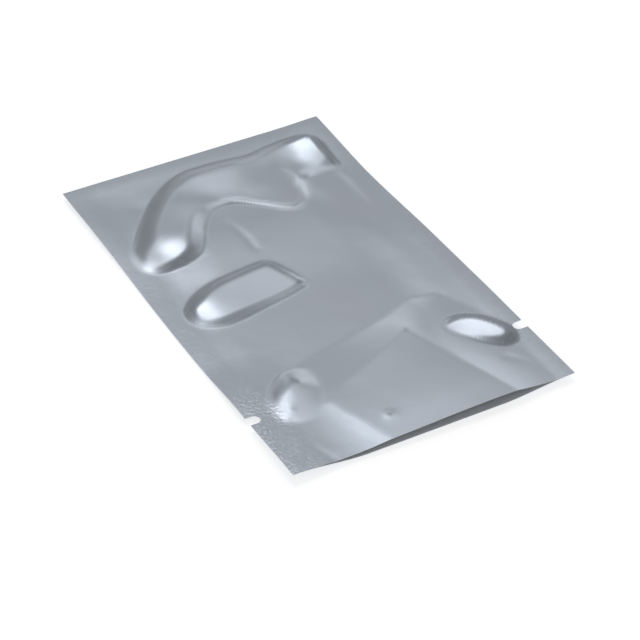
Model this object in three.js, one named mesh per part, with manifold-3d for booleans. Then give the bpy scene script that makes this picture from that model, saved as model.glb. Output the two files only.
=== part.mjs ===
// A static shielding bag: a flat open-topped pouch for one small electronic part.
// Two films of metallised plastic are heat sealed along both sides and across one end.
// The other end is the open mouth, with a tear notch in each side seal below it.
// The bag lies on its back. The lower film rests on the surface and curls up a little at its
// edges. The upper film is puffed up by trapped air, and is tented over a pocket at the mouth.
//
// Millimetres, +Z up. The origin is under the middle of the bag, on the surface it lies on.
// +Y runs to the sealed end and -Y to the mouth. +X is the right side, seen from the mouth.

import * as THREE from "three";
import { mergeVertices } from "three/addons/utils/BufferGeometryUtils.js";
import Module from "manifold-3d";

// Bag and film
const bagWidth = 60;
const bagLength = 100;
const filmThickness = 0.08;
const sideSealWidth = 4;
const endSealWidth = 4;

// Air between the two films where nothing lifts the upper one
const restingGap = 0.15;
const partingGap = 0.04; // at a seal's inner edge
const partingRun = 6; // from a seal's inner edge to the full resting gap
const sealedRun = 1.2; // from a seal's inner edge to where a puff has its full height

// The upper film rises a little towards the middle of the bag and falls again to the sealed end
const slackHeight = 0.6;
const slackSideRun = 14; // from a side seal
const slackStart = 58; // from the sealed end
const slackCrest = 28;
const slackEnd = 26;

// Tear notches, one in each side seal
const notchWidth = 2.4;
const notchDepth = 2.5;
const notchFromMouth = 17.2;

// Pocket at the mouth, where the upper film is tented over a flat rectangle
const pocketWidth = 24;
const pocketHeightLeft = 1.3;
const pocketHeightRight = 2.1;
const pocketBackDrop = 0.45; // how much lower it is at its inner edge
const pocketTurn = 22; // degrees, clockwise from the bag's length
const pocketFromLeft = 27;
const pocketFromMouth = 20.2; // middle of the pocket's inner edge

// Foot of the pocket's slopes. Each place is its distance from the left edge and from the mouth.
const pocketFoot = [
  [4, -20], [4.5, 12], [8, 23], [12, 27], [20, 29], [30, 31], [38, 33],
  [45, 35.5], [50, 34], [54, 26], [56, 16], [56, -20],
];

// Edges of the bag that stand off the surface. Each pair is a share of the way along the edge,
// and the height there. Side edges run from the mouth, the end edge from the left corner.
const leftEdgeLift = [
  [0, 1.5],
  [0.2, 0.8],
  [0.36, 0.1],
  [0.58, 0],
  [0.9, 0.75],
  [1, 0.7],
];
const rightEdgeLift = [
  [0, 1.2],
  [0.25, 1.1],
  [0.5, 0.8],
  [0.77, 0.3],
  [0.95, 0.9],
  [1, 1],
];
const endEdgeLift = [
  [0, 0.7],
  [0.15, 0.9],
  [1, 1],
];
const edgeReach = 13; // from a lifted edge to where the lower film lies flat
const mouthReach = 24; // the same for the upper film, which is taut beside the pocket

// How far the side edges are drawn in where the film is puffed up, along the bag as above
const leftEdgeDraw = [
  [0, 0.25],
  [0.2, 0.2],
  [0.45, 0],
  [0.75, 0.25],
  [1, 0.1],
];
const rightEdgeDraw = [
  [0, 0.1],
  [0.45, 0],
  [0.75, 0.25],
  [1, 0.1],
];

// Puffs of trapped air. Each height is at a place given by its distance from the left edge and
// from the sealed end. Each edge around a puff is a row of such places, each with the run over
// which the film climbs from there.
const airPuffs = {
  longChannel: {
    heights: [
      [4, 32, 0.15], [4, 28, 0.75], [6, 32, 0.33], [11, 32, 0.85], [8.5, 29.5, 0.95],
      [11, 27, 1.3], [13, 21, 1.3], [18, 14, 1.3], [25, 8.5, 1.45], [17, 26, 1.2],
      [21, 20.5, 0.9], [27, 18, 0.4], [28, 13, 1], [34, 8.5, 1.4], [34, 22, 0.35],
      [36, 16, 0.85], [41, 26.5, 0.35], [42, 12, 1.05], [45, 19, 0.6],
    ],
    edges: [
      [
        [2.4, 30.5, 1.5], [3.4, 25.5, 3.6], [6.5, 21.2, 4.6], [10, 16.6, 4.4], [15, 11, 4.2],
        [20, 7.2, 3.8], [25, 5.2, 3.2], [30, 5, 2.8], [35, 5.4, 2.6], [39, 6.6, 3],
      ],
      [
        [39, 6.6, 6], [44, 11.5, 6], [46.5, 17, 4.5], [46, 21.5, 3], [44.4, 26, 1.8],
        [41, 27.8, 1],
      ],
      [
        [41, 27.8, 0.8], [38, 27, 0.8], [34, 23.5, 0.8], [30, 20, 0.8], [27, 19.6, 1.2],
        [23.8, 21, 3.4], [21, 24.4, 4], [19, 28, 4.2], [16, 32.2, 3.4], [11, 34, 1.4],
        [6, 34, 1.2], [2.8, 32.6, 1.2], [2.4, 30.5, 1.2],
      ],
    ],
  },
  cornerBlister: {
    heights: [
      [38, 9, 0.75], [43, 9, 0.95], [48, 13, 0.65], [49, 8, 1.3], [55, 7, 1.85], [55, 12, 1.3],
      [51, 18, 0.25], [55, 18, 0.5], [43, 16, 0.4],
    ],
    edges: [
      [
        [34, 6.2, 3], [39, 6.4, 3], [45, 5, 2.4], [50, 4.6, 2.2], [54, 5.2, 1.8],
        [55.9, 7.5, 1.4], [56, 12.5, 1.3], [55.9, 19, 1.2],
      ],
      [
        [55.9, 19, 5], [50, 21, 6], [44, 19.5, 7], [38, 14.5, 8], [34, 10, 5], [34, 6.2, 4],
      ],
    ],
  },
  rightEdgeBlister: {
    heights: [
      [54, 18, 0.6], [54, 30, 0.42], [54, 40, 0.25], [48, 22, 0.3],
    ],
    edges: [
      [
        [46, 19, 7], [48.5, 26, 6], [51, 35, 4], [52.6, 40, 2], [53.6, 43, 1.2],
      ],
      [
        [53.6, 43, 0.8], [55, 37, 0.9], [55.9, 28, 0.9], [55.9, 16, 1.2],
      ],
      [
        [55.9, 16, 7], [52, 13, 7], [46, 19, 5],
      ],
    ],
  },
  shortChannel: {
    heights: [
      [5.5, 52, 0.15], [5.5, 48, 0.6], [7.5, 50, 0.66], [9.5, 47, 1.1], [11, 53, 0.6],
      [13, 44, 1.2], [20, 43, 1.15], [26, 43, 1.05], [20, 51.5, 0.5], [27, 50.5, 0.4],
    ],
    edges: [
      [
        [4.6, 49, 1.2], [5.4, 46.4, 2], [8.5, 43.6, 3.2], [13, 41.8, 3.2], [18, 41, 2.6],
        [23, 40.5, 2], [26.2, 40.9, 1.4], [28.4, 45, 1.4], [30.6, 50.4, 1.4],
      ],
      [
        [30.6, 50.4, 1.2], [26, 52, 1.2], [20, 53.2, 1.5], [13, 54.6, 1.8], [9, 54.6, 1.6],
        [5.6, 52.6, 1.2], [4.6, 49, 1.2],
      ],
    ],
  },
};

// Small blisters near the mouth, on the slopes of the pocket. They are laid out in the same
// way, from the left edge and from the mouth.
const mouthBlisters = {
  rightMouthBlister: {
    heights: [
      [49, 24.8, 1.3], [55.8, 17.5, 1.3], [47, 20.5, 0.25], [53, 14, 0.25],
    ],
    edges: [
      [
        [47, 20.2, 0.8], [45.8, 23, 0.9], [47.2, 25.4, 1.4], [51, 25.2, 1.4], [54, 22.8, 1.4],
        [56.6, 18, 1.4], [56.2, 14.6, 1.3],
      ],
      [
        [56.2, 14.6, 1], [53.4, 14, 0.8], [50, 16.4, 0.8], [47, 20.2, 0.8],
      ],
    ],
  },
  leftMouthBlister: {
    heights: [
      [11.5, 22.5, 1], [5.5, 17, 0.1], [6.5, 20.5, 0.6], [11, 16, 0.3],
    ],
    edges: [
      [
        [4.2, 16.5, 2], [4.8, 20.5, 3], [8.5, 25, 5], [13, 27, 6], [17, 25, 6],
      ],
      [
        [17, 25, 6], [15.5, 19, 6], [11.5, 14, 4], [6.5, 13.5, 2.5], [4.2, 16.5, 2],
      ],
    ],
  },
};
const edgeSteps = 5; // places worked out between two places of an edge
const heightBlend = 1; // over which one height passes into the next, square millimetres

// Fineness of the surfaces
const sealColumns = 2;
const filmColumns = 34;
const filmRows = 63;
const sealRows = 2;
const undersideCell = 5.5;
const notchSegments = 8;

const metallisedFilm = new THREE.MeshStandardMaterial({
  color: 0xaab1b9,
  metalness: 0.9,
  roughness: 0.3,
  side: THREE.DoubleSide,
});

const wasm = await Module();
wasm.setup();

const sideEdge = bagWidth / 2;
const endEdge = bagLength / 2;
const sealEdge = sideEdge - sideSealWidth;
const endSealEdge = endEdge - endSealWidth;

// A height read off [place, height] pairs, easing from each pair to the next.
function heightAlong(pairs, place) {
  const next = pairs.findIndex(([at]) => at >= place);
  if (next === 0) return pairs[0][1];
  if (next < 0) return pairs[pairs.length - 1][1];
  const [[fromPlace, fromHeight], [toPlace, toHeight]] = pairs.slice(next - 1, next + 1);
  return fromHeight + (toHeight - fromHeight) * THREE.MathUtils.smoothstep(place, fromPlace, toPlace);
}

// The place on the bag at a distance from the left edge, and from the sealed end or the mouth.
function placeOn(fromLeft, fromEnd, isFromMouth) {
  const y = isFromMouth ? fromEnd - endEdge : endEdge - fromEnd;
  return new THREE.Vector2(fromLeft - sideEdge, y);
}

// How near a place is to the line between two others, and how far along that line it is.
function nearestOn(x, y, start, end) {
  const runX = end.x - start.x;
  const runY = end.y - start.y;
  const along = ((x - start.x) * runX + (y - start.y) * runY) / (runX ** 2 + runY ** 2);
  const share = THREE.MathUtils.clamp(along, 0, 1);
  return { share, apart: Math.hypot(x - start.x - share * runX, y - start.y - share * runY) };
}

// Whether a place is inside a closed outline.
function isInside(x, y, outline) {
  let inside = false;
  outline.forEach((start, i) => {
    const end = outline[(i + 1) % outline.length];
    if (start.y > y === end.y > y) return;
    if (x < start.x + ((y - start.y) / (end.y - start.y)) * (end.x - start.x)) inside = !inside;
  });
  return inside;
}

// How far a place is from an outline: above 0 inside it and below 0 outside.
function outlineDistance(x, y, outline) {
  const ends = [...outline.slice(1), outline[0]];
  const nearest = Math.min(...outline.map((start, i) => nearestOn(x, y, start, ends[i]).apart));
  return isInside(x, y, outline) ? nearest : -nearest;
}

// An even climb that rounds off over its last part.
function climb(share) {
  if (share < 0.6) return 1.25 * share;
  return 1 - (1 - Math.min(share, 1)) ** 2 / 0.64;
}

// The height of a puff of air between the edges around it, as a function of the place.
function puff({ heights, edges }, isFromMouth) {
  const lines = edges.map((edge) => {
    const places = edge.map(([fromLeft, fromEnd, run]) => {
      const { x, y } = placeOn(fromLeft, fromEnd, isFromMouth);
      return new THREE.Vector3(x, y, run);
    });
    const curve = new THREE.CatmullRomCurve3(places, false, "catmullrom", 0.5);
    return curve.getPoints(edgeSteps * (edge.length - 1));
  });
  const outline = lines.flatMap((line) => line.slice(0, -1));
  const known = heights.map(([fromLeft, fromEnd, height]) => ({
    at: placeOn(fromLeft, fromEnd, isFromMouth),
    height,
  }));
  return (x, y) => {
    if (!isInside(x, y, outline)) return 0;
    const share = lines.reduce((product, line) => {
      const best = { apart: Infinity, reached: 0 };
      line.slice(1).forEach((end, i) => {
        const start = line[i];
        const { share: along, apart } = nearestOn(x, y, start, end);
        if (apart >= best.apart) return;
        best.apart = apart;
        best.reached = apart / (start.z + along * (end.z - start.z));
      });
      return product * climb(best.reached);
    }, 1);
    const weights = known.map(({ at }) => 1 / ((x - at.x) ** 2 + (y - at.y) ** 2 + heightBlend));
    const total = weights.reduce((sum, weight) => sum + weight, 0);
    const height = known.reduce((sum, one, i) => sum + one.height * weights[i], 0) / total;
    return height * share;
  };
}

const airHeights = [
  ...Object.values(airPuffs).map((shape) => puff(shape, false)),
  ...Object.values(mouthBlisters).map((shape) => puff(shape, true)),
];

// How far a place is inside the seals: 0 at their inner edges and on them.
function insideSeals(x, y) {
  return Math.max(0, Math.min(sealEdge - Math.abs(x), endSealEdge - y));
}

// How far the bag's edges hold a film up, fading over its reach from them.
function edgeRise(x, y, reach) {
  const fade = (distance) => 1 - THREE.MathUtils.smoothstep(distance, 0, reach);
  const alongBag = y / bagLength + 0.5;
  const left = heightAlong(leftEdgeLift, alongBag) * fade(x + sideEdge);
  const right = heightAlong(rightEdgeLift, alongBag) * fade(sideEdge - x);
  const end = heightAlong(endEdgeLift, x / bagWidth + 0.5) * fade(endEdge - y);
  return Math.cbrt(left ** 3 + right ** 3 + end ** 3);
}

// Even lines over the underside, one cell past the edge on both sides.
function undersideLines(edge) {
  const count = Math.floor(edge / undersideCell) + 1;
  return Array.from({ length: 2 * count + 1 }, (_, i) => (i - count) * undersideCell);
}

const undersideColumns = undersideLines(sideEdge);
const undersideRows = undersideLines(endEdge);
const undersideHeights = undersideRows.map((y) => undersideColumns.map((x) => edgeRise(x, y, edgeReach)));

// The height of the lower film's underside, which is flat between its lines.
function underside(x, y) {
  const column = THREE.MathUtils.clamp(
    Math.floor((x - undersideColumns[0]) / undersideCell),
    0,
    undersideColumns.length - 2,
  );
  const row = THREE.MathUtils.clamp(
    Math.floor((y - undersideRows[0]) / undersideCell),
    0,
    undersideRows.length - 2,
  );
  const across = (x - undersideColumns[column]) / undersideCell;
  const along = (y - undersideRows[row]) / undersideCell;
  const [near, far] = undersideHeights.slice(row, row + 2);
  const [nearLeft, nearRight] = near.slice(column, column + 2);
  const [farLeft, farRight] = far.slice(column, column + 2);
  if (along > across) return nearLeft + along * (farLeft - nearLeft) + across * (farRight - farLeft);
  return nearLeft + across * (nearRight - nearLeft) + along * (farRight - nearRight);
}

// The pocket's rectangle, open towards the mouth, and the foot of the slopes around it.
const turn = THREE.MathUtils.degToRad(pocketTurn);
const pocketMiddle = placeOn(pocketFromLeft, pocketFromMouth, true);
const pocketOutline = [
  [-0.5 * pocketWidth, 0],
  [0.5 * pocketWidth, 0],
  [0.5 * pocketWidth, -bagLength],
  [-0.5 * pocketWidth, -bagLength],
].map(([across, along]) =>
  new THREE.Vector2(across, along).rotateAround(new THREE.Vector2(), turn).add(pocketMiddle),
);
const footOutline = pocketFoot.map(([fromLeft, fromMouth]) => placeOn(fromLeft, fromMouth, true));

// How much of the pocket's height the upper film takes: all on its top, none at its foot.
function pocketShare(x, y) {
  const aboveFoot = Math.max(0, Math.min(outlineDistance(x, y, footOutline), insideSeals(x, y)));
  const away = Math.max(0, -outlineDistance(x, y, pocketOutline));
  return aboveFoot === 0 ? 0 : aboveFoot / (aboveFoot + away);
}

// The clear height between the two films.
function clearHeight(x, y) {
  const { smoothstep } = THREE.MathUtils;
  const inside = insideSeals(x, y);
  const parted = smoothstep(inside, 0, partingRun);
  const toEnd = endEdge - y;
  const towardsEnd = 1 - smoothstep(toEnd, slackCrest, slackStart);
  const lengthwise = towardsEnd * smoothstep(toEnd, endSealWidth, slackEnd);
  const slack = slackHeight * smoothstep(sealEdge - Math.abs(x), 0, slackSideRun) * lengthwise;
  const gap = partingGap + (restingGap - partingGap + slack) * parted;
  const share = pocketShare(x, y);
  const taut = edgeRise(x, y, mouthReach) - edgeRise(x, y, edgeReach);
  const leftToRight = smoothstep(x - pocketMiddle.x, -pocketWidth / 2, pocketWidth * 0.7);
  const top =
    THREE.MathUtils.lerp(pocketHeightLeft, pocketHeightRight, leftToRight) -
    pocketBackDrop * smoothstep(y, -endEdge, pocketMiddle.y);
  const lifted = gap + taut * Math.sqrt(share) + (top - underside(x, y) - gap - taut) * share;
  const air = Math.hypot(...airHeights.map((height) => height(x, y)));
  return Math.max(partingGap, lifted + air * climb(inside / sealedRun));
}

// Where a place on the flat bag comes to lie when its side edges are drawn in.
function drawnIn(x, y) {
  const alongBag = y / bagLength + 0.5;
  const draw = heightAlong(x < 0 ? leftEdgeDraw : rightEdgeDraw, alongBag);
  return x * (1 - draw / sideEdge);
}

// Even steps between two places, without the last.
function stepsBetween(from, to, count) {
  return Array.from({ length: count }, (_, i) => from + ((to - from) * i) / count);
}

const filmLines = stepsBetween(-sealEdge, sealEdge, filmColumns);
const cavityColumns = [...filmLines, sealEdge];
const columns = [
  ...stepsBetween(-sideEdge, -sealEdge, sealColumns),
  ...filmLines,
  ...stepsBetween(sealEdge, sideEdge, sealColumns),
  sideEdge,
];
const mouthLines = stepsBetween(-endEdge, endSealEdge, filmRows);
const rows = [...mouthLines, ...stepsBetween(endSealEdge, endEdge, sealRows), endEdge];
const pastTheMouth = -endEdge - undersideCell;
const cavityRows = [pastTheMouth, ...mouthLines, endSealEdge];

// A closed mesh as a manifold-3d solid.
function toSolid(geometry) {
  const bare = geometry.clone();
  bare.deleteAttribute("normal");
  bare.deleteAttribute("uv");
  const merged = mergeVertices(bare);
  return new wasm.Manifold(
    new wasm.Mesh({
      numProp: 3,
      vertProperties: merged.attributes.position.array,
      triVerts: new Uint32Array(merged.index.array),
    }),
  );
}

// A block that fills the space under a surface, given as a height over the flat bag.
function blockUnder(surface, xLines, yLines, depth) {
  const across = xLines.length - 1;
  const along = yLines.length - 1;
  const box = new THREE.BoxGeometry(across, along, 1, across, along, 1);
  const position = box.attributes.position;
  for (let i = 0; i < position.count; i++) {
    const x = xLines[Math.round(position.getX(i) + across / 2)];
    const y = yLines[Math.round(position.getY(i) + along / 2)];
    position.setXYZ(i, drawnIn(x, y), y, position.getZ(i) > 0 ? surface(x, y) : -depth);
  }
  return toSolid(box);
}

// The space between two surfaces, the lower one on the underside's lines.
function solidBetween(lower, upper, xLines, yLines) {
  const depth = pocketHeightRight;
  return blockUnder(upper, xLines, yLines, depth).subtract(
    blockUnder(lower, undersideColumns, undersideRows, 2 * depth),
  );
}

// A tear notch's cutter: a slot with a round inner end, open past the side edge.
function notchCutter(side) {
  const radius = notchWidth / 2;
  const tip = sideEdge - notchDepth + radius;
  const outline = new THREE.Shape();
  outline.moveTo(sideEdge + notchWidth, -radius);
  outline.lineTo(sideEdge + notchWidth, radius);
  outline.lineTo(tip, radius);
  outline.absarc(tip, 0, radius, Math.PI / 2, (3 * Math.PI) / 2, false);
  outline.closePath();
  const height = pocketHeightRight + notchWidth;
  const cutter = new THREE.ExtrudeGeometry(outline, {
    depth: 2 * height,
    bevelEnabled: false,
    curveSegments: notchSegments,
  });
  cutter.translate(0, 0, -height);
  if (side < 0) cutter.rotateZ(Math.PI);
  cutter.translate(0, notchFromMouth - endEdge, 0);
  return toSolid(cutter);
}

const outerForm = solidBetween(
  underside,
  (x, y) => underside(x, y) + 2 * filmThickness + clearHeight(x, y),
  columns,
  rows,
);
const inside = solidBetween(
  (x, y) => underside(x, y) + filmThickness,
  (x, y) => underside(x, y) + filmThickness + clearHeight(x, y),
  cavityColumns,
  cavityRows,
);

// The finished solid back as a three.js mesh.
function toMesh(name, solid, material) {
  const { vertProperties, triVerts } = solid.getMesh();
  const geometry = new THREE.BufferGeometry();
  geometry.setAttribute("position", new THREE.BufferAttribute(vertProperties, 3));
  geometry.setIndex(new THREE.BufferAttribute(triVerts, 1));
  geometry.computeVertexNormals();
  const mesh = new THREE.Mesh(geometry, material);
  mesh.name = name;
  return mesh;
}

const bag = outerForm.subtract(inside).subtract(notchCutter(-1)).subtract(notchCutter(1));

const group = new THREE.Group();
group.add(toMesh("bag", bag, metallisedFilm));

export default group;
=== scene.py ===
import math

import bmesh
import bpy
import numpy as np
from mathutils import Matrix, Vector


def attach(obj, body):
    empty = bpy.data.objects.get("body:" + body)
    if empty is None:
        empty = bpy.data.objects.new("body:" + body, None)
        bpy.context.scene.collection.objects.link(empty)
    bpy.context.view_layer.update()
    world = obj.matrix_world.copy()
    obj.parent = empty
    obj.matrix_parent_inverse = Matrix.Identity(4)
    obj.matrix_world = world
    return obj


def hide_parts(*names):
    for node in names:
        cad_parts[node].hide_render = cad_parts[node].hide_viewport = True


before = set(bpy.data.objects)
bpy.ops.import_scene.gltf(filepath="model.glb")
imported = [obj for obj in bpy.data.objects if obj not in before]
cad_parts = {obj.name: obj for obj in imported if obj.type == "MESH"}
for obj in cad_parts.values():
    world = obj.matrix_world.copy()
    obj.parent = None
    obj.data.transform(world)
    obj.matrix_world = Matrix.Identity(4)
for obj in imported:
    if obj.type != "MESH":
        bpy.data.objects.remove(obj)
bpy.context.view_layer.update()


# Camera
# A long lens looks down at the bag from beyond its near left corner, as the photograph does.
mm = 0.001
camera_aim = Vector((-3.15, -11.64, 0)) * mm
camera_azimuth = math.radians(-28.87)
camera_elevation = math.radians(37.98)
camera_distance = 439 * mm
camera_lens = 128.0

camera_back = Vector((
    math.sin(camera_azimuth) * math.cos(camera_elevation),
    -math.cos(camera_azimuth) * math.cos(camera_elevation),
    math.sin(camera_elevation),
))
camera_right = Vector((math.cos(camera_azimuth), math.sin(camera_azimuth), 0))
camera_up = camera_back.cross(camera_right)
camera_data = bpy.data.cameras.new("camera")
camera_data.lens = camera_lens
camera_data.sensor_width = 36
camera_data.clip_start = 0.01
camera = bpy.data.objects.new("camera", camera_data)
bpy.context.collection.objects.link(camera)
camera.matrix_world = (
    Matrix.Translation(camera_aim + camera_back * camera_distance)
    @ Matrix((camera_right, camera_up, camera_back)).transposed().to_4x4()
)
bpy.context.scene.camera = camera


# Bag film
# Two films of metallised plastic, 0.08 mm thick, heat sealed along both sides and one end.
# The mouth end is open. Trapped air and a flat-topped pocket at the mouth lift the upper film.
bag_width = 60.0
bag_length = 100.0
film_thickness = 0.08
side_seal_width = 4.0
end_seal_width = 4.0
notch_width = 2.4
notch_depth = 2.5
notch_from_mouth = 17.2
notch_arc_steps = 8
lining_inset = 0.2
resting_gap = 0.12
parting_gap = 0.04
parting_run = 6.0
grid_cell = 0.5
field_cell = 0.25
curve_steps = 5
film_stiffness = 0.45
hard_edge = math.radians(45)

left_edge_lift = [(0, 1.5), (0.2, 0.8), (0.36, 0.1), (0.58, 0), (0.9, 0.75), (1, 0.7)]
right_edge_lift = [(0, 1.2), (0.25, 1.1), (0.5, 0.8), (0.77, 0.3), (0.95, 0.9), (1, 1)]
end_edge_lift = [(0, 0.7), (0.15, 0.9), (1, 1)]
edge_reach = 16.0
left_edge_draw = [(0, 0.25), (0.2, 0.2), (0.45, 0), (0.75, 0.25), (1, 0.1)]
right_edge_draw = [(0, 0.1), (0.45, 0), (0.75, 0.25), (1, 0.1)]

# Air trapped under the upper film. Each puff has the heights that it reaches at places in it,
# and the places around its edge, each with the run over which the film climbs from there.
air_puffs = {
    "long_channel": (
        [(-26.4, 19, 0.05), (-26, 22.5, 0.3), (-24.3, 18, 0.3), (-21.5, 20.5, 0.98), (-19.5, 18, 0.8),
         (-23.5, 22.8, 0.85), (-17.7, 23.8, 1.4), (-17, 29, 1.35), (-12, 36, 1.3), (-5, 41.5, 1.45),
         (-13, 24, 1.2), (-9, 29.5, 0.9), (-3, 32, 0.45), (-2, 37, 1.05), (4, 41, 1.4),
         (4, 28, 0.34), (6, 34, 0.9), (11, 23.5, 0.3), (9, 40, 1.15), (13, 41, 1.2), (12, 36, 1),
         (15, 33, 0.65), (17.5, 34, 0.55), (18, 37.5, 0.85), (19, 42, 1.35), (22, 40, 1.6),
         (25, 43, 2.1), (25, 38, 1.75), (21, 32, 0.35), (25, 32, 0.8)],
        [[(-27.8, 19.5, 2.2), (-26.6, 24.5, 3.6), (-23.5, 28.8, 4.6), (-20, 33.4, 4.4), (-15, 39, 4.2),
          (-10, 42.8, 4.2), (-5, 45, 4.4), (0, 45.2, 4.4), (5, 44.9, 4.2), (10, 44.3, 4),
          (15, 45.2, 3.8), (20, 45.6, 3.2), (24, 45, 2.4), (25.9, 42.5, 1.6), (26, 37.5, 1.3),
          (25.9, 31, 1.2)],
         [(25.9, 31, 4), (20, 29.5, 4), (17.4, 31.4, 2.8), (16.4, 28.5, 2.6), (14.4, 24, 1.8),
          (11, 22.2, 1), (8, 23, 0.9), (4, 26.5, 0.9), (0, 30, 1), (-3, 30.4, 1.6), (-6.2, 29, 3.4),
          (-9, 25.6, 4), (-11, 22, 4.2), (-14, 17.8, 3), (-19, 16.4, 1.2), (-24, 16.6, 1.2),
          (-27.2, 17.8, 1.6), (-27.8, 19.5, 2.2)]],
    ),
    "right_edge_blister": (
        [(24, 32, 0.3), (24, 20, 0.2), (24, 10, 0.12), (18, 28, 0.2)],
        [[(16, 31, 7), (18.5, 24, 6), (21, 15, 4), (22.6, 10, 2), (23.6, 7, 1.2)],
         [(23.6, 7, 2), (25, 13, 2.6), (25.9, 22, 2.8), (25.9, 34, 2.8)],
         [(25.9, 34, 7), (22, 37, 7), (16, 31, 5)]],
    ),
    "short_channel": (
        [(-24.5, -2, 0.15), (-24.5, 2, 0.6), (-22.5, 0, 0.66), (-20.5, 3, 1.1), (-19, -3, 0.6),
         (-17, 6, 1.2), (-10, 7, 1.15), (-4, 7, 1.05), (-10, -1.5, 0.5), (-3, -0.5, 0.4)],
        [[(-25.4, 1, 1.2), (-24.6, 3.6, 2), (-21.5, 6.4, 3.2), (-17, 8.2, 3.2), (-12, 9, 3),
          (-7, 9.5, 2.8), (-3.6, 9.1, 2.4), (-1.2, 5, 2.3), (0.8, -0.4, 1.8)],
         [(0.8, -0.4, 1.2), (-4, -2, 1.2), (-10, -3.2, 1.5), (-17, -4.6, 1.8), (-21, -4.6, 1.6),
          (-24.4, -2.6, 1.2), (-25.4, 1, 1.2)]],
    ),
    "right_mouth_blister": (
        [(16, -27, 0.05), (17.5, -24.8, 0.45), (21, -25, 1.1), (25.6, -31.5, 1.6), (20, -33.4, 0.35),
         (23.4, -35.8, 0.8)],
        [[(17, -29.8, 0.6), (15.8, -27, 0.6), (17.2, -24.6, 1), (21, -24.8, 1.4), (24, -27.2, 1.5),
          (26.6, -32, 1.5), (26.4, -36, 1)],
         [(26.4, -36, 1.4), (23.4, -36.8, 1.5), (20, -34.2, 1), (17, -29.8, 0.6)]],
    ),
    "left_mouth_blister": (
        [(-18.5, -27.5, 0.95), (-24.5, -33, 0.12), (-23.5, -29.5, 0.35), (-19, -34, 0.75)],
        [[(-25.8, -34, 1.4), (-24.8, -30.5, 2.2), (-22, -26, 3.8), (-17, -22.5, 6), (-11.5, -24.5, 7)],
         [(-11.5, -24.5, 7), (-13.5, -31, 7), (-18.5, -37, 6), (-23.5, -37, 3), (-25.8, -34, 1.4)]],
    ),
}
mouth = -bag_length / 2
seal_edge = bag_width / 2 - side_seal_width
end_seal_edge = bag_length / 2 - end_seal_width

# The slack of the far half: its height, and where along and across the bag it comes and goes.
slack_height = 0.85
slack_side_run = 14.0
slack_start, slack_crest = -4.0, 24.0
slack_end, slack_end_run = 46.0, 24.0

# Fine creases. Each has its line, its width and how far it stands up, below 0 where it dips.
film_creases = [
    ([(-4.6, 25.5), (-4.1, 22), (-3.6, 18), (-3.7, 14)], 1.0, -0.11),
    ([(14, 37), (15.8, 34.5), (15.6, 31.5), (14.2, 29.5)], 1.3, -0.08),
    ([(-24.5, -38), (-24, -41), (-22.6, -46), (-21, -50)], 1.0, -0.1),
    ([(21.5, -40), (23, -41.2), (24.2, -43.2), (25.6, -46)], 1.2, 0.14),
    ([(-24.4, 4.4), (-24.6, 6), (-24.2, 7.6)], 0.9, 0.08),
]
panel_dimple = (-6.5, -44.0, 0.9, 0.16)

# The flat-topped pocket at the mouth: the corners of its top and of its foot, and its heights.
pocket_corners = [(-14, -35.5), (-12, -33), (8.7, -24.2), (29.8, -90), (2.5, -90)]
pocket_foot = [(-26, -90), (-25.5, -38), (-22, -27), (-18, -23), (-10, -21), (0, -19), (8, -17),
               (15, -14.5), (20, -16), (24, -24), (26, -34), (26, -90)]
mouth_reach = 24.0
pocket_height_left = 1.3
pocket_height_right = 2.1
pocket_turn_left, pocket_turn_right = -16.0, 14.0
pocket_back_drop = 0.45
pocket_drop_start, pocket_drop_end = -46.0, -24.0

# Where the film counts as folded, by how sharply it curves and how steeply it slopes.
# There the film's finish is rougher, and painted shade darkens its colour.
fold_step = 0.6
gentle_curve, hard_curve = 0.06, 0.36
steep_slope, steepest_slope = 0.3, 0.55
slope_share = 0.4

# The grain pressed into the heat seals: clearest on the left one, from the notch to the mouth.
seal_grain_share = 0.25
end_grain_share = 0.6
grain_start, grain_full = 22.0, 25.0
mouth_grain_start, mouth_grain_full = 18.0, 28.0


def height_along(pairs, place):
    """A height read off (place, height) pairs, easing from each pair to the next."""
    height = np.full_like(place, pairs[0][1])
    for (start, low), (end, high) in zip(pairs, pairs[1:]):
        share = np.clip((place - start) / (end - start), 0, 1)
        height += (high - low) * share * share * (3 - 2 * share)
    return height


def ease(value, start, end):
    """A share that eases from 0 at the start to 1 at the end."""
    share = np.clip((value - start) / (end - start), 0, 1)
    return share * share * (3 - 2 * share)


def smooth_line(stations):
    """Stations joined by a smooth curve, as rows of evenly stepped places."""
    points = np.array(stations, dtype=float)
    padded = np.vstack([2 * points[0] - points[1], points, 2 * points[-1] - points[-2]])
    rows = []
    for a, b, c, d in zip(padded, padded[1:], padded[2:], padded[3:]):
        for t in np.arange(curve_steps) / curve_steps:
            rows.append(0.5 * (2 * b + (c - a) * t + (2 * a - 5 * b + 4 * c - d) * t * t
                               + (3 * b - a - 3 * c + d) * t ** 3))
    return np.array(rows + [points[-1]])


def line_distance(x, y, line):
    """How far each place is from a line of points."""
    nearest = np.full_like(x, 1e9)
    for (x0, y0), (x1, y1) in zip(line, line[1:]):
        along_x, along_y = x1 - x0, y1 - y0
        share = ((x - x0) * along_x + (y - y0) * along_y) / (along_x ** 2 + along_y ** 2)
        share = np.clip(share, 0, 1)
        apart = np.hypot(x - x0 - share * along_x, y - y0 - share * along_y)
        nearest = np.minimum(nearest, apart)
    return nearest


def is_inside(x, y, outline):
    """Which places are inside a closed outline."""
    inside = np.zeros(x.shape, dtype=bool)
    for (x0, y0), (x1, y1) in zip(outline, outline[1:] + outline[:1]):
        if y0 != y1:
            inside ^= ((y0 > y) != (y1 > y)) & (x < x0 + (y - y0) / (y1 - y0) * (x1 - x0))
    return inside


def ramp(share):
    """An even climb that rounds off over its last part."""
    even_part = 0.6
    rounded = 1 - (1 - np.clip(share, even_part, 1)) ** 2 / (1 - even_part ** 2)
    return np.where(share < even_part, share * 2 / (1 + even_part), rounded)


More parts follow.
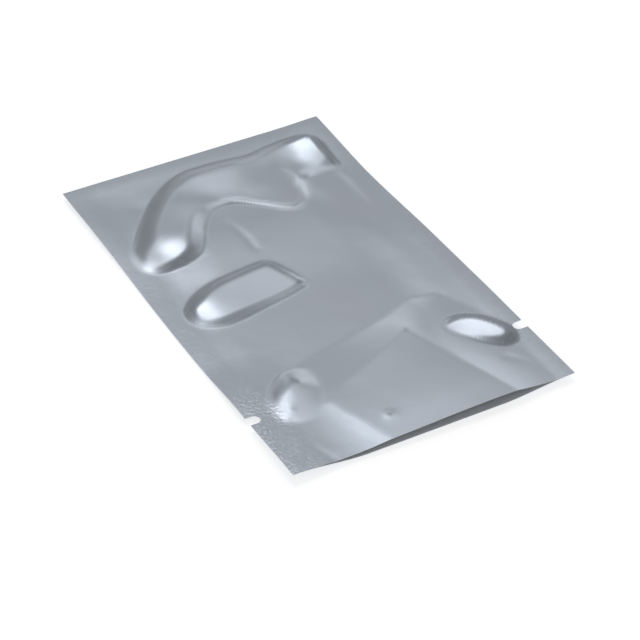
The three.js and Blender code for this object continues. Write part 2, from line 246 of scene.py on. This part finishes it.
def climb_from(x, y, edge):
    """How much of its full height the film reaches beside one edge of a puff."""
    line = smooth_line(edge)
    nearest = np.full_like(x, 1e9)
    reached = np.zeros_like(x)
    for start, end in zip(line, line[1:]):
        run = end[:2] - start[:2]
        share = np.clip(((x - start[0]) * run[0] + (y - start[1]) * run[1]) / (run @ run), 0, 1)
        apart = np.hypot(x - start[0] - share * run[0], y - start[1] - share * run[1])
        full_run = start[2] + share * (end[2] - start[2])
        reached = np.where(apart < nearest, apart / full_run, reached)
        nearest = np.minimum(nearest, apart)
    return ramp(reached)


def bend(squared):
    """How a thin plate bends round one place, from the squared distance to it."""
    return squared * np.log(squared + 1e-9)


def plate_height(x, y, places):
    """The height of a thin plate that bends as little as it can between its known heights."""
    at = np.array(places, dtype=float)
    count = len(at)
    level = np.column_stack([np.ones(count), at[:, :2]])
    known = np.zeros((count + 3, count + 3))
    known[:count, :count] = bend(((at[:, None, :2] - at[None, :, :2]) ** 2).sum(axis=2))
    known[:count, count:] = level
    known[count:, :count] = level.T
    pull = np.linalg.solve(known, np.append(at[:, 2], [0, 0, 0]))
    height = pull[-3] + pull[-2] * x + pull[-1] * y
    for (at_x, at_y, _), weight in zip(at, pull):
        height = height + weight * bend((x - at_x) ** 2 + (y - at_y) ** 2)
    return height


def puff(x, y, heights, edges):
    """The height of a puff of air between the edges around it."""
    outline = [tuple(place[:2]) for edge in edges for place in smooth_line(edge)[:-1]]
    share = is_inside(x, y, outline).astype(float)
    for edge in edges:
        share = share * climb_from(x, y, edge)
    return np.maximum(plate_height(x, y, heights), 0) * share


def crease(x, y, line, width, height):
    """The height of a fine crease: even along its line, fading away across it and past its ends."""
    places = [tuple(place) for place in smooth_line(line)]
    apart = line_distance(x, y, places)
    return height * np.exp(-(apart / width * 2) ** 2)


def outline_distance(x, y, corners):
    """How far each place is from an outline, above 0 inside it and below 0 outside."""
    nearest = line_distance(x, y, corners + corners[:1])
    return np.where(is_inside(x, y, corners), nearest, -nearest)


def edge_rise(x, y, reach):
    """How far the bag's edges hold a film up, fading over its reach from them."""
    along_bag = y / bag_length + 0.5
    left = height_along(left_edge_lift, along_bag) * (1 - ease(x + bag_width / 2, 0, reach))
    right = height_along(right_edge_lift, along_bag) * (1 - ease(bag_width / 2 - x, 0, reach))
    end = (height_along(end_edge_lift, x / bag_width + 0.5)
           * (1 - ease(bag_length / 2 - y, 0, edge_reach)))
    return np.cbrt(left ** 3 + right ** 3 + end ** 3)


def underside(x, y):
    """The height of the lower film's underside over the surface that the bag lies on."""
    return edge_rise(x, y, edge_reach)


def pocket_share(x, y):
    """How much of the pocket's height the upper film takes: all on its top, none at its foot."""
    above_foot = np.clip(outline_distance(x, y, pocket_foot), 0, None)
    away = np.clip(-outline_distance(x, y, pocket_corners), 0, None)
    return above_foot / np.maximum(above_foot + away, 1e-6)


def clear_height(x, y):
    """The clear height between the two films."""
    inside = np.minimum(seal_edge - np.abs(x), end_seal_edge - y)
    parted = ease(np.clip(inside, 0, None), 0, parting_run)
    air = np.sqrt(sum(puff(x, y, *shape) ** 2 for shape in air_puffs.values()))
    slack = (slack_height * ease(seal_edge - np.abs(x), 0, slack_side_run)
             * ease(y, slack_start, slack_crest) * ease(slack_end - y, 0, slack_end_run))
    creases = sum(crease(x, y, *shape) for shape in film_creases)
    dimple_x, dimple_y, dimple_radius, dimple_height = panel_dimple
    from_dimple = (x - dimple_x) ** 2 + (y - dimple_y) ** 2
    dimple = dimple_height * np.exp(-from_dimple / dimple_radius ** 2)
    gap = parting_gap + (resting_gap - parting_gap + slack) * parted
    share = pocket_share(x, y)
    taut = edge_rise(x, y, mouth_reach) - edge_rise(x, y, edge_reach)
    across = ease(x, pocket_turn_left, pocket_turn_right)
    top = pocket_height_left + (pocket_height_right - pocket_height_left) * across
    top = top - pocket_back_drop * ease(y, pocket_drop_start, pocket_drop_end)
    lifted = gap + taut * np.sqrt(share) + (top - underside(x, y) - gap - taut) * share
    return np.maximum(lifted + air + (creases + dimple) * parted, parting_gap)


def softened(height):
    """A height read off a fine grid that is smoothed as stiff film smooths itself."""
    across = np.arange(-bag_width / 2 - 1, bag_width / 2 + 1 + field_cell / 2, field_cell)
    along = np.arange(-bag_length / 2 - 1, bag_length / 2 + 1 + field_cell / 2, field_cell)
    grid_x, grid_y = np.meshgrid(across, along)
    field = height(grid_x, grid_y)
    spread = 8
    steps = np.arange(-spread, spread + 1) * field_cell
    weights = np.exp(-(steps / film_stiffness) ** 2 / 2)
    weights /= weights.sum()
    for axis in (0, 1):
        pads = [(spread, spread) if which == axis else (0, 0) for which in (0, 1)]
        padded = np.pad(field, pads, mode="edge")
        field = sum(weight * np.take(padded, range(shift, shift + field.shape[axis]), axis)
                    for shift, weight in enumerate(weights))

    def read_off(x, y):
        column = (x - across[0]) / field_cell
        row = (y - along[0]) / field_cell
        left, near = column.astype(int), row.astype(int)
        right_share, far_share = column - left, row - near
        near_height = (field[near, left] * (1 - right_share)
                       + field[near, left + 1] * right_share)
        far_height = (field[near + 1, left] * (1 - right_share)
                      + field[near + 1, left + 1] * right_share)
        return near_height * (1 - far_share) + far_height * far_share

    return read_off


def drawn_in(x, y):
    """Where a place on the flat bag comes to lie when its side edges are drawn in."""
    along_bag = y / bag_length + 0.5
    left_draw = height_along(left_edge_draw, along_bag)
    right_draw = height_along(right_edge_draw, along_bag)
    draw = np.where(x < 0, left_draw, right_draw)
    return x * (1 - draw / (bag_width / 2))


def flat_plate(bm, left, right, near, far):
    """A flat grid of cells between four sides, all of its faces looking up."""
    columns = round((right - left) / grid_cell)
    rows = round((far - near) / grid_cell)
    place = Matrix.Translation(((left + right) / 2, (near + far) / 2, 0))
    scale = Matrix.Diagonal(((right - left) / 2, (far - near) / 2, 1, 1))
    made = bmesh.ops.create_grid(
        bm, x_segments=columns, y_segments=rows, size=1, matrix=place @ scale,
    )
    return list({face for vert in made["verts"] for face in vert.link_faces})


def cut_notch(bm, side):
    """Cut a tear notch into one side seal: a slot with a round inner end."""
    radius = notch_width / 2
    from_middle = bag_width / 2 - notch_depth + radius
    middle = Vector((side * from_middle, mouth + notch_from_mouth, 0))
    reach = notch_depth + 1
    walls = [(middle + Vector((0, way * radius, 0)), Vector((0, way, 0))) for way in (-1, 1)]
    for step in range(notch_arc_steps):
        turn = math.pi / 2 + math.pi * (step + 0.5) / notch_arc_steps
        out = Vector((side * math.cos(turn), math.sin(turn), 0))
        walls.append((middle + out * radius, out))
    for place, out in walls:
        near_faces = [face for face in bm.faces
                      if (face.calc_center_median() - middle).length < reach]
        near_edges = {edge for face in near_faces for edge in face.edges}
        near_verts = {vert for face in near_faces for vert in face.verts}
        bmesh.ops.bisect_plane(
            bm, geom=near_faces + list(near_edges) + list(near_verts), dist=1e-4,
            plane_co=place, plane_no=out,
        )
    inside = [face for face in bm.faces
              if (face.calc_center_median() - middle).length < reach
              and all((face.calc_center_median() - place).dot(out) < 0 for place, out in walls)]
    bmesh.ops.delete(bm, geom=inside, context="FACES")


def extrude_up(bm, faces):
    """Thicken a flat plate into a closed box, and return the vertices of its top."""
    made = bmesh.ops.extrude_face_region(bm, geom=faces, use_keep_orig=True)
    top = [item for item in made["geom"] if isinstance(item, bmesh.types.BMVert)]
    bmesh.ops.translate(bm, verts=top, vec=(0, 0, 1))
    return top


def open_mouth(bm, faces, half_width):
    """Take out a box's wall at the mouth, and return the loop of edges around the opening."""
    wall = [face for face in faces
            if all(abs(vert.co.y - mouth) < 1e-4 and abs(vert.co.x) < half_width + 1e-4
                   for vert in face.verts)]
    rim = {edge for face in wall for edge in face.edges}
    bmesh.ops.delete(bm, geom=wall, context="FACES_ONLY")
    rim = [edge for edge in rim if edge.is_valid]
    loose = [edge for edge in rim if not edge.link_faces]
    loop = [edge for edge in rim if edge.link_faces]
    bmesh.ops.delete(bm, geom=loose, context="EDGES")
    return loop


def dullness_and_shade_amount(x, y, height):
    """How folded or steep the film is at each place, from 0 on flat film to 1 at a hard fold: it sets
    a rougher finish and painted shade there.
    """
    left, right = height(x - fold_step, y), height(x + fold_step, y)
    near, far = height(x, y - fold_step), height(x, y + fold_step)
    curve = np.abs(left + right + near + far - 4 * height(x, y)) / fold_step ** 2
    slope = np.hypot(right - left, far - near) / (2 * fold_step)
    by_curve = ease(curve, gentle_curve, hard_curve)
    return np.clip(by_curve + slope_share * ease(slope, steep_slope, steepest_slope), 0, 1)


def seal_grain(x, y):
    """How clearly the heat seal's pressed grain shows: most on the left seal by the mouth."""
    in_side_seal = ease(np.abs(x), seal_edge - 1, seal_edge + 0.5)
    in_end_seal = end_grain_share * ease(y, end_seal_edge - 0.5, end_seal_edge + 0.5)
    by_mouth = ease(-x, grain_start, grain_full) * ease(-y, mouth_grain_start, mouth_grain_full)
    return np.maximum(seal_grain_share * np.maximum(in_side_seal, in_end_seal), by_mouth)


def lay_out(verts, height, fold_dullness_and_shade=None, is_lining=0):
    """Move flat vertices to where the film lies, at a height worked out for each place."""
    flat = np.array([vert.co[:2] for vert in verts])
    x, y = flat[:, 0], flat[:, 1]
    # Where a height is given for it, the bends and slopes of that height set how much rougher each
    # place is and how much painted shade darkens it.
    dullness_and_shade_amounts = dullness_and_shade_amount(x, y, fold_dullness_and_shade) if fold_dullness_and_shade else np.zeros_like(x)
    rows = zip(verts, drawn_in(x, y), height(x, y), dullness_and_shade_amounts, seal_grain(x, y))
    for vert, place, z, amount, grain in rows:
        vert.co = (place * mm, vert.co.y * mm, z * mm)
        vert[dullness_and_shade_layer] = amount
        vert[lining_layer] = is_lining
        vert[grain_layer] = grain


bm = bmesh.new()
# Per point: how much rougher the film is, and how much painted shade darkens its colour at folds and
# steep slopes.
dullness_and_shade_layer = bm.verts.layers.float.new("fold_dullness_and_shade")
lining_layer = bm.verts.layers.float.new("lining")
grain_layer = bm.verts.layers.float.new("seal_grain")

flat_plate(bm, -bag_width / 2, bag_width / 2, mouth, bag_length / 2)
cut_notch(bm, -1)
cut_notch(bm, 1)
outer_bottom = list(bm.verts)
outer_top = extrude_up(bm, list(bm.faces))
outer_all = set(bm.faces)
bmesh.ops.recalc_face_normals(bm, faces=list(bm.faces))
outer_loop = open_mouth(bm, outer_all, seal_edge)

outer_verts = set(bm.verts)
lining = flat_plate(bm, -seal_edge, seal_edge, mouth, end_seal_edge)
lining_bottom = [vert for vert in bm.verts if vert not in outer_verts]
lining_top = extrude_up(bm, lining)
lining_all = [face for face in bm.faces if face not in outer_all]
bmesh.ops.recalc_face_normals(bm, faces=lining_all)
bmesh.ops.reverse_faces(bm, faces=lining_all)
lining_loop = open_mouth(bm, lining_all, seal_edge)
bmesh.ops.scale(bm, verts=lining_bottom + lining_top, vec=(1 - lining_inset / seal_edge, 1, 1))
bmesh.ops.bridge_loops(bm, edges=outer_loop + lining_loop)

gap_between = softened(clear_height)


def lining_floor(x, y):
    """The height of the lower film's inner face."""
    return underside(x, y) + film_thickness


def lining_roof(x, y):
    """The height of the upper film's inner face."""
    return lining_floor(x, y) + gap_between(x, y)


def upper_side(x, y):
    """The height of the upper film's outer face."""
    return underside(x, y) + 2 * film_thickness + gap_between(x, y)


lay_out(outer_bottom, underside)
lay_out(outer_top, upper_side, fold_dullness_and_shade=gap_between)
lay_out(lining_bottom, lining_floor, is_lining=1)
lay_out(lining_top, lining_roof, is_lining=1)

for face in bm.faces:
    face.smooth = True
for edge in bm.edges:
    edge.smooth = edge.is_manifold and edge.calc_face_angle(0) < hard_edge

bag_mesh = bpy.data.meshes.new("bag_film")
bm.to_mesh(bag_mesh)
bm.free()
bag = bpy.data.objects.new("bag_film", bag_mesh)
bpy.context.collection.objects.link(bag)
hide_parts("bag")
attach(bag, "root")


class Signal:
    """A node socket that adds, subtracts and multiplies with numbers and other sockets."""

    def __init__(self, tree, socket):
        self.tree, self.socket = tree, socket

    def math(self, operation, *values):
        """One maths node that takes this socket first."""
        return node(self.tree, "ShaderNodeMath", {"operation": operation}, [self, *values])["Value"]

    def __add__(self, other):
        return self.math("ADD", other)

    __radd__ = __add__

    def __mul__(self, other):
        return self.math("MULTIPLY", other)

    __rmul__ = __mul__

    def __sub__(self, other):
        return self.math("SUBTRACT", other)

    def __rsub__(self, other):
        return (self * -1) + other


def node(tree, kind, settings, inputs):
    """Make any node, with its settings first and then its sockets' values or links."""
    made = tree.nodes.new(kind)
    for name, value in settings.items():
        setattr(made, name, value)
    pairs = inputs.items() if isinstance(inputs, dict) else enumerate(inputs)
    for name, value in pairs:
        if isinstance(value, Signal):
            tree.links.new(value.socket, made.inputs[name])
        else:
            made.inputs[name].default_value = value
    return {socket.name: Signal(tree, socket) for socket in made.outputs}


def attribute(tree, name):
    """A value that the mesh carries at each of its points."""
    return node(tree, "ShaderNodeAttribute", {"attribute_name": name}, {})["Fac"]


def mixed_color(tree, share, first, second):
    """A blend of two colours by a share."""
    mix = tree.nodes.new("ShaderNodeMix")
    mix.data_type = "RGBA"
    # Many of this node's sockets share a name, so they are picked by number: the factor is 0,
    # the two colours are 6 and 7, and the blended colour comes out at 2.
    for place, value in zip((0, 6, 7), (share, first, second)):
        if isinstance(value, Signal):
            tree.links.new(value.socket, mix.inputs[place])
        else:
            mix.inputs[place].default_value = value
    return Signal(tree, mix.outputs[2])


film_blue = (0.382, 0.432, 0.485, 1)
film_violet = (0.405, 0.43, 0.48, 1)
# Painted shade: a darker film colour laid into the creases and onto the steep slopes.
painted_fold_shade_color = (0.335, 0.367, 0.41, 1)
lining_color = (0.62, 0.64, 0.66, 1)
film_metallic = 0.9
film_roughness = 0.3
fold_roughness = 0.32
tint_scale = 45.0
wrinkle_scale = 130.0
grain_scale = 1500.0
grain_strength = 1.3
relief_depth = 0.06 * mm

film_material = bpy.data.materials.new("metallised_film")
film_material.use_nodes = True
film_tree = film_material.node_tree
film_shader = film_tree.nodes["Principled BSDF"]
# How much rougher the film is at each point, and how much painted shade darkens its colour there.
fold_dullness_and_shade = attribute(film_tree, "fold_dullness_and_shade")
lining_share = attribute(film_tree, "lining")
on_bag = node(film_tree, "ShaderNodeTexCoord", {}, {})["Object"]


def noise(scale, detail):
    """A fine random relief over the bag."""
    inputs = {"Vector": on_bag, "Scale": scale, "Detail": detail}
    return node(film_tree, "ShaderNodeTexNoise", {}, inputs)["Fac"]


film_tone = mixed_color(film_tree, noise(tint_scale, 2.0), film_blue, film_violet)
# Painted shade: the film's colour darkens towards the painted shade colour at folds and steep slopes.
outside_tone_with_painted_shade = mixed_color(film_tree, fold_dullness_and_shade, film_tone, painted_fold_shade_color)
bag_tone = mixed_color(film_tree, lining_share, outside_tone_with_painted_shade, lining_color)
relief = (noise(wrinkle_scale, 3.0)
          + noise(grain_scale, 1.0) * attribute(film_tree, "seal_grain") * grain_strength)
bumps = {"Strength": 1.0, "Distance": relief_depth, "Height": relief}
fine_normal = node(film_tree, "ShaderNodeBump", {}, bumps)["Normal"]
for name, signal in (
    ("Base Color", bag_tone),
    ("Metallic", lining_share * -film_metallic + film_metallic),
    ("Roughness", fold_dullness_and_shade * fold_roughness + film_roughness),
    ("Normal", fine_normal),
):
    film_tree.links.new(signal.socket, film_shader.inputs[name])
bag_mesh.materials.append(film_material)


# Floor
# A plain white tabletop, wide enough to fill the view from every side.
floor_drop = 0.1 * mm
floor_half_width = 80
floor_mesh = bpy.data.meshes.new("floor")
bm = bmesh.new()
bmesh.ops.create_grid(
    bm, x_segments=1, y_segments=1, size=floor_half_width,
    matrix=Matrix.Translation((0, 0, -floor_drop)),
)
bm.to_mesh(floor_mesh)
bm.free()
floor = bpy.data.objects.new("floor", floor_mesh)
bpy.context.collection.objects.link(floor)
floor_material = bpy.data.materials.new("white_tabletop")
floor_material.use_nodes = True
floor_shader = floor_material.node_tree.nodes["Principled BSDF"]
floor_shader.inputs["Base Color"].default_value = (0.9, 0.9, 0.9, 1)
floor_shader.inputs["Roughness"].default_value = 0.6
floor_shader.inputs["Specular IOR Level"].default_value = 0.0
floor_shader.inputs["Emission Color"].default_value = (1, 1, 1, 1)
floor_shader.inputs["Emission Strength"].default_value = 0.56
floor_mesh.materials.append(floor_material)


# Studio light
# A soft even surround with four panels: a softbox to the left of the bag, one overhead, one
# behind it and one to its right.
def area_lamp(name, direction, distance, width, height, power):
    """A rectangular lamp that faces the bag from one direction."""
    lamp_data = bpy.data.lights.new(name, "AREA")
    lamp_data.shape = "RECTANGLE"
    lamp_data.size = width
    lamp_data.size_y = height
    lamp_data.energy = power
    lamp = bpy.data.objects.new(name, lamp_data)
    bpy.context.collection.objects.link(lamp)
    back = Vector(direction).normalized()
    turn = back.to_track_quat("Z", "Y").to_matrix().to_4x4()
    lamp.matrix_world = Matrix.Translation(back * distance) @ turn


area_lamp("softbox", (0.138, 0.594, 0.793), 1.0, 0.2, 0.2, 0.78)
area_lamp("overhead_panel", (0.43, 0.47, 0.77), 1.0, 0.36, 0.24, 0.32)
area_lamp("back_panel", (0.43, 0.84, 0.32), 1.6, 0.8, 0.36, 1.15)
area_lamp("side_panel", (0.66, 0.63, 0.41), 1.2, 0.26, 0.26, 0.3)

world = bpy.data.worlds.new("surround")
bpy.context.scene.world = world
world.use_nodes = True
surround = world.node_tree.nodes["Background"]
surround.inputs["Color"].default_value = (1, 1, 1, 1)
surround.inputs["Strength"].default_value = 0.42

bpy.context.scene.view_settings.view_transform = "Standard"
